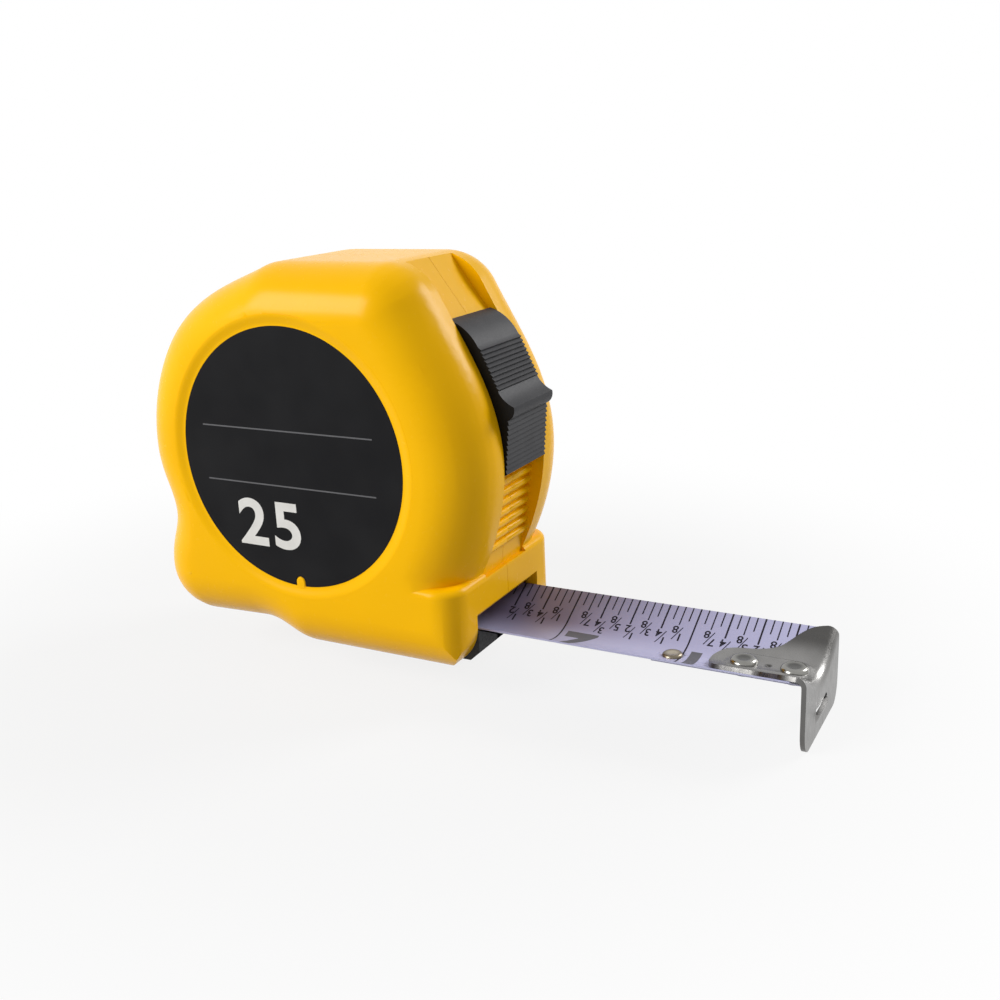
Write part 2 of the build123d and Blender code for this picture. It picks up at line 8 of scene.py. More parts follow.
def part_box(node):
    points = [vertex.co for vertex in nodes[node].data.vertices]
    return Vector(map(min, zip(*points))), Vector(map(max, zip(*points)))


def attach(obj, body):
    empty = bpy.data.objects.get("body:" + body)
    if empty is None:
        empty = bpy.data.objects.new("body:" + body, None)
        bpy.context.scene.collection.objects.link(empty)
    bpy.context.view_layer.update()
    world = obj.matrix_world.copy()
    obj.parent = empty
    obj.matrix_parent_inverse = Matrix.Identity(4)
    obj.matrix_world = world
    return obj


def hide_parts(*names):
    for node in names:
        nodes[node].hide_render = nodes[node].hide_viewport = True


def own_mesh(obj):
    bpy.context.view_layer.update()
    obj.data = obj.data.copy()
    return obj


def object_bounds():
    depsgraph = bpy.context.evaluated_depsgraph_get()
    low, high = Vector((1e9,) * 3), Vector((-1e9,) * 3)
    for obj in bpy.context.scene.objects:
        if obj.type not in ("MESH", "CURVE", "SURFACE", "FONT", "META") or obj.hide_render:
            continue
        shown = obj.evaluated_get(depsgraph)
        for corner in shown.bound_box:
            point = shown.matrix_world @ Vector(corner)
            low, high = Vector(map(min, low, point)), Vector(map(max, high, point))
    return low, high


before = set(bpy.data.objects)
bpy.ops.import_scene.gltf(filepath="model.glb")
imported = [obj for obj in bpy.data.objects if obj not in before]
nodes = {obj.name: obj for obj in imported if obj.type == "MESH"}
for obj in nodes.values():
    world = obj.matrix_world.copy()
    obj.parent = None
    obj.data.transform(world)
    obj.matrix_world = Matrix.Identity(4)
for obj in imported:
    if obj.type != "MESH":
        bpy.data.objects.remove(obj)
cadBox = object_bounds()
mm = 0.001
tiny = 0.001 * mm
print("frame loaded:", len(nodes), "nodes")


# node helpers that the finishes share

def addNode(tree, kind, **settings):
    node = tree.nodes.new(kind)
    for key, value in settings.items():
        setattr(node, key, value)
    return node


def plug(tree, node, socket, value):
    if isinstance(value, bpy.types.NodeSocket):
        tree.links.new(value, node.inputs[socket])
    else:
        node.inputs[socket].default_value = value


def calculate(tree, operation, first, second):
    node = addNode(tree, "ShaderNodeMath", operation=operation)
    plug(tree, node, 0, first)
    plug(tree, node, 1, second)
    return node.outputs[0]


def remap(tree, value, source, target, smooth=False):
    node = addNode(tree, "ShaderNodeMapRange")
    if smooth:
        node.interpolation_type = "SMOOTHSTEP"
    plug(tree, node, "Value", value)
    plug(tree, node, "From Min", source[0])
    plug(tree, node, "From Max", source[1])
    plug(tree, node, "To Min", target[0])
    plug(tree, node, "To Max", target[1])
    return node.outputs["Result"]


def mixColours(tree, factor, first, second):
    # sockets 6 and 7 and output 2 are the ones that carry colour
    node = addNode(tree, "ShaderNodeMix", data_type="RGBA")
    plug(tree, node, 0, factor)
    plug(tree, node, 6, first)
    plug(tree, node, 7, second)
    return node.outputs[2]


def noiseOn(tree, vector, scale, detail):
    node = addNode(tree, "ShaderNodeTexNoise")
    plug(tree, node, "Vector", vector)
    plug(tree, node, "Scale", scale)
    plug(tree, node, "Detail", detail)
    return node.outputs["Fac"]


def stretched(tree, vector, stretch):
    node = addNode(tree, "ShaderNodeMapping")
    plug(tree, node, "Vector", vector)
    plug(tree, node, "Scale", stretch)
    return node.outputs["Vector"]


def opaque(colour):
    return (*colour, 1.0)


def lookedAt(tree):
    # 1 where the camera sees a thing, also by way of metal or glass
    rays = addNode(tree, "ShaderNodeLightPath")
    seen = calculate(tree, "MAXIMUM", rays.outputs["Is Camera Ray"], rays.outputs["Is Glossy Ray"])
    return calculate(tree, "MAXIMUM", seen, rays.outputs["Is Transmission Ray"])


def startFinish(name):
    material = bpy.data.materials.new(name)
    material.use_nodes = True
    tree = material.node_tree
    tree.nodes.clear()
    output = addNode(tree, "ShaderNodeOutputMaterial")
    shader = addNode(tree, "ShaderNodeBsdfPrincipled")
    tree.links.new(shader.outputs["BSDF"], output.inputs["Surface"])
    place = addNode(tree, "ShaderNodeTexCoord").outputs["Object"]
    return material, tree, shader, place


def addBump(tree, shader, height, strength, distance):
    bump = addNode(tree, "ShaderNodeBump")
    plug(tree, bump, "Strength", strength)
    plug(tree, bump, "Distance", distance)
    plug(tree, bump, "Height", height)
    plug(tree, shader, "Normal", bump.outputs["Normal"])


# how every finish reads its two noises
reading = {"driftDetail": 2.0, "driftSpan": (0.3, 0.7), "grainDetail": 4.0, "glossSpan": (0.3, 0.7),
           "fleckSpan": (0.55, 0.75)}


def makeFinish(name, look):
    # colour drifts slowly between two shades, gloss follows a finer grain that stands out a little
    material, tree, shader, place = startFinish(name)
    drift = noiseOn(tree, place, look["driftScale"], reading["driftDetail"])
    drift = remap(tree, drift, reading["driftSpan"], (0.0, 1.0))
    grainPlace = stretched(tree, place, look["brush"]) if "brush" in look else place
    grain = noiseOn(tree, grainPlace, look["grainScale"], reading["grainDetail"])
    colour = mixColours(tree, drift, opaque(look["colour"]), opaque(look["shade"]))
    # painted shade and reflection: the tone attribute leads the colour towards the deep colour
    if "deep" in look:
        tone = addNode(tree, "ShaderNodeAttribute", attribute_name="tone").outputs["Fac"]
        colour = mixColours(tree, tone, colour, opaque(look["deep"]))
    if "fleck" in look:
        flecks = remap(tree, grain, reading["fleckSpan"], (0.0, look["fleckShare"]))
        colour = mixColours(tree, flecks, colour, opaque(look["fleck"]))
    plug(tree, shader, "Base Color", colour)
    gloss = remap(tree, grain, reading["glossSpan"], look["roughness"])
    plug(tree, shader, "Roughness", gloss)
    plug(tree, shader, "Metallic", look.get("metallic", 0.0))
    for socket, value in look.get("sockets", {}).items():
        plug(tree, shader, socket, value)
    addBump(tree, shader, grain, look["bump"], look["relief"])
    return material


# deep is the colour that a piece's painted tone leads to: painted shade and reflection on the lock,
# blade and hook, and on the rivets' faces
finishes = {
    "caseYellow": {"colour": (0.93, 0.492, 0.0), "shade": (0.90, 0.468, 0.0), "driftScale": 60,
                   "grainScale": 900, "roughness": (0.22, 0.28), "bump": 0.02, "relief": 0.01 * mm,
                   "sockets": {"Specular IOR Level": 0.10}},
    "labelBlack": {"colour": (0.010, 0.010, 0.011), "shade": (0.014, 0.014, 0.015),
                   "driftScale": 90, "grainScale": 5200, "roughness": (0.42, 0.58),
                   "bump": 0.25, "relief": 0.02 * mm, "sockets": {"Specular IOR Level": 0.05}},
    "labelGrey": {"colour": (0.085, 0.085, 0.09), "shade": (0.075, 0.075, 0.08), "driftScale": 300,
                  "grainScale": 5200, "roughness": (0.4, 0.55), "bump": 0.2, "relief": 0.01 * mm},
    "labelWhite": {"colour": (0.70, 0.69, 0.66), "shade": (0.62, 0.61, 0.58), "driftScale": 300,
                   "grainScale": 5200, "roughness": (0.4, 0.55), "bump": 0.2, "relief": 0.01 * mm},
    # the slide's deep colour is painted shade on its flanks
    "lockCharcoal": {"colour": (0.027, 0.027, 0.030), "shade": (0.036, 0.036, 0.039),
                     "deep": (0.0015, 0.0015, 0.0015), "driftScale": 200, "grainScale": 3800,
                     "roughness": (0.38, 0.55), "bump": 0.3, "relief": 0.03 * mm,
                     "sockets": {"Specular IOR Level": 0.15}},
    "armBlack": {"colour": (0.010, 0.010, 0.011), "shade": (0.016, 0.016, 0.017), "driftScale": 200,
                 "grainScale": 3800, "roughness": (0.35, 0.5), "bump": 0.3, "relief": 0.03 * mm},
    "bumperRubber": {"colour": (0.006, 0.006, 0.007), "shade": (0.012, 0.012, 0.013),
                     "driftScale": 260, "grainScale": 2600, "roughness": (0.55, 0.8),
                     "bump": 0.5, "relief": 0.05 * mm},
    # the enamel's deep colour is painted reflection and shade
    "bladeEnamel": {"colour": (0.45, 0.45, 0.65), "shade": (0.42, 0.42, 0.61), "driftScale": 70,
                    "deep": (0.19, 0.155, 0.25), "grainScale": 4200, "roughness": (0.30, 0.42),
                    "bump": 0.12, "relief": 0.01 * mm, "sockets": {"Specular IOR Level": 0.5}},
    "inkBlack": {"colour": (0.010, 0.008, 0.014), "shade": (0.022, 0.019, 0.030), "driftScale": 900,
                 "grainScale": 5200, "roughness": (0.4, 0.5), "bump": 0.1, "relief": 0.01 * mm,
                 "sockets": {"Specular IOR Level": 0.15}},
    "inkGrey": {"colour": (0.080, 0.078, 0.095), "shade": (0.070, 0.068, 0.080), "driftScale": 900,
                "grainScale": 5200, "roughness": (0.4, 0.5), "bump": 0.1, "relief": 0.01 * mm},
    # the nickel's deep colour is painted shade and reflection
    "hookNickel": {"colour": (0.26, 0.255, 0.25), "shade": (0.20, 0.197, 0.192), "driftScale": 160,
                   "deep": (0.075, 0.073, 0.070), "brush": (1.0, 1.0, 0.10), "grainScale": 2600,
                   "roughness": (0.24, 0.40), "metallic": 1.0, "bump": 0.10, "relief": 0.02 * mm,
                   "fleck": (0.13, 0.125, 0.12), "fleckShare": 0.12},
    # painted reflection: the steel rivets' dished faces go to the darker deep colour
    "rivetSteel": {"colour": (0.28, 0.276, 0.26), "shade": (0.24, 0.236, 0.22), "driftScale": 400,
                   "deep": (0.085, 0.084, 0.08), "grainScale": 1800, "roughness": (0.16, 0.28),
                   "metallic": 1.0, "bump": 0.08, "relief": 0.02 * mm},
    # the brass rivet's dished face goes to a lighter deep colour
    "rivetBrass": {"colour": (0.20, 0.17, 0.13), "shade": (0.16, 0.135, 0.10), "driftScale": 400,
                   "deep": (0.42, 0.37, 0.29), "grainScale": 1800, "roughness": (0.25, 0.4),
                   "metallic": 1.0, "bump": 0.12, "relief": 0.02 * mm},
    "springBlue": {"colour": (0.20, 0.21, 0.24), "shade": (0.26, 0.26, 0.29), "driftScale": 240,
                   "brush": (1.0, 0.1, 1.0), "grainScale": 2200, "roughness": (0.25, 0.42),
                   "metallic": 1.0, "bump": 0.08, "relief": 0.02 * mm},
    "reelNatural": {"colour": (0.66, 0.66, 0.63), "shade": (0.60, 0.60, 0.57),
                    "driftScale": 120, "grainScale": 2400, "roughness": (0.4, 0.55),
                    "bump": 0.15, "relief": 0.02 * mm},
    "coilEdges": {"colour": (0.44, 0.42, 0.52), "shade": (0.30, 0.29, 0.34), "driftScale": 240,
                  "grainScale": 3200, "roughness": (0.3, 0.5), "bump": 0.2, "relief": 0.02 * mm},
    "clipPlated": {"colour": (0.60, 0.60, 0.60), "shade": (0.52, 0.52, 0.53), "driftScale": 130,
                   "brush": (0.12, 1.0, 1.0), "grainScale": 1900, "roughness": (0.16, 0.28),
                   "metallic": 1.0, "bump": 0.07, "relief": 0.02 * mm},
    "screwZinc": {"colour": (0.10, 0.10, 0.11), "shade": (0.16, 0.16, 0.17), "driftScale": 500,
                  "grainScale": 2400, "roughness": (0.3, 0.48), "metallic": 1.0,
                  "bump": 0.12, "relief": 0.02 * mm},
}
finish = {name: makeFinish(name, look) for name, look in finishes.items()}
print("finishes made:", len(finish))


# the CAD nodes that stay as they are get their finish here
nodeFinish = {
    "mouth_bumper": "bumperRubber", "blade_coil": "coilEdges", "reel_hub": "reelNatural",
    "reel_cover": "reelNatural", "power_spring": "springBlue", "centre_post": "hookNickel",
    "side_washers": "springBlue", "brake_arm": "armBlack", "detent_spring": "springBlue",
    "belt_clip": "clipPlated", "belt_clip_screw": "clipPlated", "case_screws": "screwZinc",
}
for nodeName, finishName in nodeFinish.items():
    for materialSlot in nodes[nodeName].material_slots:
        materialSlot.material = finish[finishName]
print("CAD nodes dressed:", len(nodeFinish))


def meshFrom(form, name):
    mesh = bpy.data.meshes.new(name)
    form.to_mesh(mesh)
    form.free()
    return mesh


def addObject(name, data):
    holder = bpy.data.objects.new(name, data)
    bpy.context.scene.collection.objects.link(holder)
    return holder


def addPiece(form, name, finishName, body):
    piece = addObject(name, meshFrom(form, name))
    piece.data.materials.append(finish[finishName])
    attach(piece, body)
    return piece


def shadeSmooth(form, sharpAngle):
    for face in form.faces:
        face.smooth = True
    for edge in form.edges:
        edge.smooth = len(edge.link_faces) != 2 or edge.calc_face_angle() < sharpAngle


def cutAcross(form, place, normal, **sides):
    whole = form.verts[:] + form.edges[:] + form.faces[:]
    bmesh.ops.bisect_plane(form, geom=whole, plane_co=place, plane_no=normal, **sides)


def closeHoles(form):
    bmesh.ops.holes_fill(form, edges=[edge for edge in form.edges if edge.is_boundary], sides=0)


def ease(value, low, high):
    share = min(max((value - low) / (high - low), 0.0), 1.0)
    return share * share * (3 - 2 * share)


def paintTone(mesh, rule):
    # a share at each face corner: the finish goes from its colour to its deep colour by it; this
    # lays on painted shade and reflection
    tone = mesh.attributes.new("tone", "FLOAT", "CORNER")
    for face in mesh.polygons:
        for corner in face.loop_indices:
            spot = mesh.vertices[mesh.loops[corner].vertex_index].co
            tone.data[corner].value = rule(spot, face.normal)


# a welded copy of a CAD node, shaded smooth except at true corners
smoothing = {"weld": 0.002 * mm, "sliver": 0.012 * mm, "sliverArea": 0.03 * mm * mm,
             "sharpAngle": math.radians(32), "knifeAngle": math.radians(120), "normalWeight": 60}


def mendHairlines(form):
    # where the pocket just cuts through the rounded shoulder, skin and pocket are closed apart
    knives = [edge for edge in form.edges
              if len(edge.link_faces) == 2 and edge.calc_face_angle() > smoothing["knifeAngle"]]
    print("hairline edges mended:", len(knives))
    bmesh.ops.split_edges(form, edges=knives)
    closeHoles(form)


# the rounded tab that the label's notch fits over is a piece of its own: the pointed one sinks
tab = {"half": 1.05 * mm, "top": 16.75 * mm, "foot": 14.3 * mm, "gap": 0.11 * mm,
       "faceY": -20.5 * mm, "backY": -19.9 * mm, "round": 0.28 * mm, "roundCuts": 4, "turns": 12,
       "sunkY": -20.2 * mm, "proudY": -20.3 * mm, "sunkHalf": 1.6 * mm, "sunkTop": 18.0 * mm}


def sinkTab(form):
    for vert in form.verts:
        x, y, z = vert.co
        if abs(x) < tab["sunkHalf"] and tab["foot"] < z < tab["sunkTop"] and y < tab["proudY"]:
            vert.co.y = tab["sunkY"]


def tabOutline(spread):
    half = tab["half"] + spread
    bend = tab["top"] - tab["half"]
    turns = [math.pi * step / tab["turns"] for step in range(tab["turns"] + 1)]
    return [(half * math.cos(turn), bend + half * math.sin(turn)) for turn in turns]


def keepSide(form, x, side):
    # cut square across the blade, and keep what lies ahead of the cut (1) or behind it (-1)
    cutAcross(form, (x, 0, 0), (1, 0, 0), clear_inner=side > 0, clear_outer=side < 0)


def smoothCopy(nodeName, name, finishName, body, cut=None):
    form = bmesh.new()
    form.from_mesh(nodes[nodeName].data)
    bmesh.ops.remove_doubles(form, verts=form.verts, dist=smoothing["weld"])
    if nodeName in ("case_left", "case_right"):
        mendHairlines(form)
    if nodeName == "case_left":
        sinkTab(form)
    bmesh.ops.dissolve_degenerate(form, edges=form.edges, dist=smoothing["sliver"])
    if cut:
        keepSide(form, *cut)
        closeHoles(form)
    shadeSmooth(form, smoothing["sharpAngle"])
    for edge in form.edges:
        # an edge beside a sliver says nothing about the form
        if not edge.smooth:
            smallest = min(face.calc_area() for face in edge.link_faces)
            edge.smooth = smallest < smoothing["sliverArea"]
    piece = addPiece(form, name, finishName, body)
    normals = piece.modifiers.new("evenNormals", "WEIGHTED_NORMAL")
    normals.keep_sharp = True
    normals.weight = smoothing["normalWeight"]
    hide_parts(nodeName)
    return piece


smoothCopy("case_left", "caseShellLeft", "caseYellow", "case")
smoothCopy("case_right", "caseShellRight", "caseYellow", "case")
lockSlide = smoothCopy("lock_button", "lockSlide", "lockCharcoal", "lock")
lockFlankTilt = (0.6, 0.9)  # the slide's flanks lie in shade
# painted shade: the slide's flanks are drawn darker, as they lie in shade
paintTone(lockSlide.data, lambda spot, normal: ease(abs(normal.y), *lockFlankTilt))
print("case and lock dressed")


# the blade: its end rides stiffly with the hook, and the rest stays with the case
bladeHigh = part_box("blade_strip")[1]
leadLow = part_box("blade_lead")[0]
blade = {
    "zeroX": 96.5 * mm, "inch": 25.4 * mm, "radius": 11.0 * mm, "wingAngle": math.radians(27),
    "thick": 0.25 * mm, "plateShare": 0.4, "splitX": 66.74 * mm, "travel": 59.5 * mm,
    "halfWidth": bladeHigh.y, "edgeZ": bladeHigh.z,
    "shadeX": (44 * mm, 84 * mm), "shadeY": (-3 * mm, 6 * mm), "shadeShare": (0.30, 0.70),
}
blade["kneeY"] = blade["radius"] * math.sin(blade["wingAngle"])
blade["kneeReach"] = blade["radius"] * blade["wingAngle"]
blade["rise"] = (blade["radius"] * (1 - math.cos(blade["wingAngle"]))
                 + (blade["halfWidth"] - blade["kneeY"]) * math.tan(blade["wingAngle"]))
blade["axisZ"] = blade["edgeZ"] - blade["rise"] + blade["radius"]
blade["halfReach"] = (blade["kneeReach"]
                      + (blade["halfWidth"] - blade["kneeY"]) / math.cos(blade["wingAngle"]))
blade["keep"] = (blade["splitX"] - blade["travel"] - leadLow.x) / (blade["splitX"] - leadLow.x)


def onBlade(x, reach, lift):
    # reach is measured along the curved section from its middle line
    side = 1 if reach >= 0 else -1
    angle = min(abs(reach) / blade["radius"], blade["wingAngle"])
    run = max(abs(reach) - blade["kneeReach"], 0.0)
    y = (blade["radius"] - lift) * math.sin(angle) + run * math.cos(angle)
    z = blade["axisZ"] - (blade["radius"] - lift) * math.cos(angle) + run * math.sin(angle)
    return Vector((x, side * y, z))


def followBlade(piece):
    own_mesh(piece)


def bladeTone(spot, normal):
    # painted reflection and shade: darker towards the mouth and the far edge, where the case and
    # the room's dark side would show in it
    along = 1.0 - ease(spot.x, *blade["shadeX"])
    across = ease(spot.y, *blade["shadeY"])
    least, more = blade["shadeShare"]
    return along * (least + more * across)


def thinPlate(mesh):
    # the plate keeps its seat under the blade and is drawn thinner
    for vert in mesh.vertices:
        reach = math.sqrt((blade["radius"] + blade["thick"]) ** 2 - vert.co.y ** 2)
        underside = blade["axisZ"] - reach
        vert.co.z = underside - max(underside - vert.co.z, 0.0) * blade["plateShare"]


ahead, behind = (blade["splitX"], 1), (blade["splitX"], -1)
bladeEnd = smoothCopy("blade_strip", "bladeEnd", "bladeEnamel", "blade", ahead)
bladeRun = smoothCopy("blade_strip", "bladeRun", "bladeEnamel", "case", behind)
bladeInside = smoothCopy("blade_lead", "bladeInside", "bladeEnamel", "case")
platePart = smoothCopy("backing_plate", "plateUnder", "bladeEnamel", "blade")
thinPlate(platePart.data)
# painted reflection and shade on the blade's pieces and the plate under it
for piece in (bladeEnd, bladeRun, bladeInside, platePart):
    paintTone(piece.data, bladeTone)
followBlade(bladeRun)
followBlade(bladeInside)
print("blade dressed")


def addBar(form, x, width, reachLow, reachHigh):
    corners = [(x - width / 2, reachLow), (x + width / 2, reachLow),
               (x + width / 2, reachHigh), (x - width / 2, reachHigh)]
    form.faces.new([form.verts.new((u, v, 0)) for u, v in corners])


letterCuts = {"small": 3, "large": 10}


def addLetters(form, words, height, boldness, place, turned, hold="middle", stretch=1.0,
               spread=1.0):
    # flat letters, their middle or right edge at place; turned ones are read from the far side
    curve = bpy.data.curves.new("letters", "FONT")
    curve.body = words
    curve.size = 1.0
    curve.offset = boldness
    curve.align_x = "CENTER"
    curve.align_y = "CENTER"
    curve.space_character = spread
    curve.resolution_u = letterCuts["small"] if turned else letterCuts["large"]
    holder = addObject("letters", curve)
    bpy.context.view_layer.update()
    mesh = bpy.data.meshes.new_from_object(holder)
    lows = [min(v.co[axis] for v in mesh.vertices) for axis in (0, 1)]
    highs = [max(v.co[axis] for v in mesh.vertices) for axis in (0, 1)]
    holdX = highs[0] if hold == "edge" else (lows[0] + highs[0]) / 2
    middle = Vector((holdX, (lows[1] + highs[1]) / 2, 0))
    grow = height / (highs[1] - lows[1])
    turn = Matrix.Rotation(math.pi if turned else 0.0, 4, "Z")
    size = Matrix.Diagonal((grow * stretch, grow, grow, 1.0))
    mesh.transform(Matrix.Translation((*place, 0)) @ turn @ size @ Matrix.Translation(-middle))
    form.from_mesh(mesh)
    bpy.data.objects.remove(holder)
    bpy.data.curves.remove(curve)
    bpy.data.meshes.remove(mesh)


# the printed scale; lengths and shifts go by the part of an inch that a line marks
scale = {
    "firstX": 30.0 * mm, "lastX": 94.0 * mm, "inkHeight": 0.012 * mm, "bendCuts": 24,
    "lineWidth": 0.26 * mm, "boldWidth": 0.35 * mm, "inchWidth": 0.33 * mm,
    "lengths": {16: 3.5 * mm, 8: 4.7 * mm, 4: 6.2 * mm, 2: 6.4 * mm},
    "fractionHeight": 1.85 * mm, "fractionBold": 0.018, "fractionStep": (0.62 * mm, 0.89 * mm),
    "fractionGap": 2.1 * mm, "fractionShift": {8: 0.25 * mm, 4: 0.55 * mm, 2: 0.55 * mm},
    "slash": (0.20 * mm, 3.5 * mm), "slashLean": math.radians(-24),
    "inches": (1, 2), "numeralHeight": 10.0 * mm, "numeralBold": 0.03, "numeralReach": -2.5 * mm,
    "numeralGap": 1.3 * mm,
}


def scaleSteps(parts):
    # every mark that an inch cut into so many parts has on the blade, and where it stands
    steps = int((blade["zeroX"] - scale["firstX"]) / (blade["inch"] / parts))
    places = ((step, blade["zeroX"] - step * blade["inch"] / parts) for step in range(1, steps + 1))
    return [(step, x) for step, x in places if x <= scale["lastX"]]


def scaleLines(form):
    farEdge = blade["halfReach"]
    for step, x in scaleSteps(16):
        if step % 16 == 0:
            addBar(form, x, scale["inchWidth"], -farEdge, farEdge)
            continue
        part = next(p for p in (2, 4, 8, 16) if step * p % 16 == 0)
        width = scale["boldWidth"] if part in (2, 4) else scale["lineWidth"]
        addBar(form, x, width, farEdge - scale["lengths"][part], farEdge)


def scaleFractions(form):
    height, bold = scale["fractionHeight"], scale["fractionBold"]
    aside, apart = scale["fractionStep"]
    lean = Matrix.Rotation(scale["slashLean"], 3, "Z")
    for step, x in scaleSteps(8):
        eighths = step % 8
        if eighths == 0:
            continue
        shrink = math.gcd(eighths, 8)
        part = 8 // shrink
        reach = blade["halfReach"] - scale["lengths"][part] - scale["fractionGap"]
        x += scale["fractionShift"][part]
        addLetters(form, str(eighths // shrink), height, bold, (x + aside, reach - apart), True)
        addLetters(form, str(part), height, bold, (x - aside, reach + apart), True)
        slash = bmesh.ops.create_grid(form, x_segments=1, y_segments=1, size=0.5)["verts"]
        bmesh.ops.scale(form, verts=slash, vec=(*scale["slash"], 1.0))
        bmesh.ops.rotate(form, verts=slash, cent=(0, 0, 0), matrix=lean)
        bmesh.ops.translate(form, verts=slash, vec=(x, reach, 0))


def scaleNumerals(form):
    height, bold = scale["numeralHeight"], scale["numeralBold"]
    for inch in scale["inches"]:
        edge = blade["zeroX"] - inch * blade["inch"] + scale["numeralGap"]
        addLetters(form, str(inch), height, bold, (edge, scale["numeralReach"]), True, "edge")


def layOnBlade(form, name, finishName, side):
    # keep one side of the blade's split, cut the flat print across and bend it on
    keepSide(form, blade["splitX"], side)
    for index in range(scale["bendCuts"] + 1):
        reach = blade["kneeReach"] * (2 * index / scale["bendCuts"] - 1)
        cutAcross(form, (0, reach, 0), (0, 1, 0))
    for vert in form.verts:
        vert.co = onBlade(vert.co.x, vert.co.y, scale["inkHeight"])
    piece = addPiece(form, name, finishName, "blade" if side > 0 else "case")
    if side < 0:
        followBlade(piece)


prints = {"scalePrint": ("inkBlack", scaleLines, scaleFractions),
          "inchNumerals": ("inkGrey", scaleNumerals)}
for name, (finishName, *makers) in prints.items():
    for part, side in (("End", 1), ("Run", -1)):
        form = bmesh.new()
        for maker in makers:
            maker(form)
        layOnBlade(form, name + part, finishName, side)
print("blade printed")


# the hook: a flat plan cut into strips, then bent over the blade's hollow and down across its end
hookLow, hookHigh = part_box("end_hook")
claw = {
    "thick": 0.85 * mm, "gap": 0.06 * mm, "bend": 1.1 * mm, "bendCells": 8, "frontX": 96.5 * mm,
    "legFlat": 9.0 * mm, "tip": (76.8 * mm, 1.5 * mm), "halfWidth": hookHigh.y,
    "flare": ((78.2, 3.7), (80.2, 4.55), (82.4, 4.7), (84.8, 5.1), (86.8, 5.6), (88.3, 6.4),
              (89.6, 7.9), (91.0, 9.7), (92.6, 11.2), (94.4, 11.9)),  # x and y in mm
    "corner": 3.0 * mm, "cornerCuts": 6, "ease": 0.85 * mm, "easeCuts": 5,
    "slitHalf": 3.85 * mm, "slitY": -0.6 * mm, "slitZ": (0.2 * mm, -0.75 * mm), "slitRound": 0.25,
    "lip": 0.60 * mm, "lipFoot": -3.0 * mm, "lipFade": (1.2 * mm, 0.4 * mm), "lipStart": 0.05,
    "rivetX": (83.1 * mm, 92.3 * mm), "pad": 0.32 * mm, "padReach": (2.8 * mm, 3.35 * mm),
    "padFade": 1.2 * mm, "dimpleX": 87.6 * mm, "dimpleReach": (0.1 * mm, 0.75 * mm),
    "dimpleDepth": 0.45 * mm, "dimpleRoom": 1.0 * mm, "cell": 0.5 * mm, "fine": 0.2 * mm,
    "sharpAngle": math.radians(50),
}
claw["bendStart"] = claw["frontX"] - claw["bend"]
claw["legStart"] = claw["bendStart"] + claw["bend"] * math.pi / 2


def seatZ(y):
    # height of the blade's upper face under the hook
    if abs(y) < blade["kneeY"]:
        return blade["axisZ"] - math.sqrt(blade["radius"] ** 2 - y * y)
    return blade["edgeZ"] - (blade["halfWidth"] - abs(y)) * math.tan(blade["wingAngle"])


def clawPlace(u, y):
    top = seatZ(y) + claw["gap"]
    if u <= claw["bendStart"]:
        return Vector((u, y, top + clawRelief(u, y)))
    angle = min((u - claw["bendStart"]) / claw["bend"], math.pi / 2)
    x = claw["bendStart"] + claw["bend"] * math.sin(angle)
    z = top - claw["bend"] * (1 - math.cos(angle))
    share = max(u - claw["legStart"], 0.0) / claw["legFlat"]
    z += (hookLow.z - z) * share
    return Vector((x + lipRelief(y, z) * min(share / claw["lipStart"], 1.0), y, z))


def clawRelief(x, y):
    # a low pad round both rivets and a punch mark between them
    near = min(max(x, claw["rivetX"][0]), claw["rivetX"][1])
    away = math.hypot(x - near, y)
    fade = 1 - ease(x, claw["bendStart"] - claw["padFade"], claw["bendStart"])
    relief = claw["pad"] * (1 - ease(away, *claw["padReach"])) * fade
    aside = math.hypot(x - claw["dimpleX"], y)
    return relief - claw["dimpleDepth"] * (1 - ease(aside, *claw["dimpleReach"]))


def lipRelief(y, z):
    # the lower lip of the nail slit stands forward
    if z > (claw["slitZ"][0] + claw["slitZ"][1]) / 2:
        return 0.0
    within, beyond = claw["lipFade"]
    aside = abs(y - claw["slitY"])
    inside = 1 - ease(aside, claw["slitHalf"] - within, claw["slitHalf"] + beyond)
    return claw["lip"] * inside * (1 - ease(z, claw["slitZ"][1], claw["lipFoot"]))


def flatU(y, z):
    # how far along the flat plan a height on the leg lies
    start = seatZ(y) + claw["gap"] - claw["bend"]
    return claw["legStart"] + claw["legFlat"] * (start - z) / (start - hookLow.z)


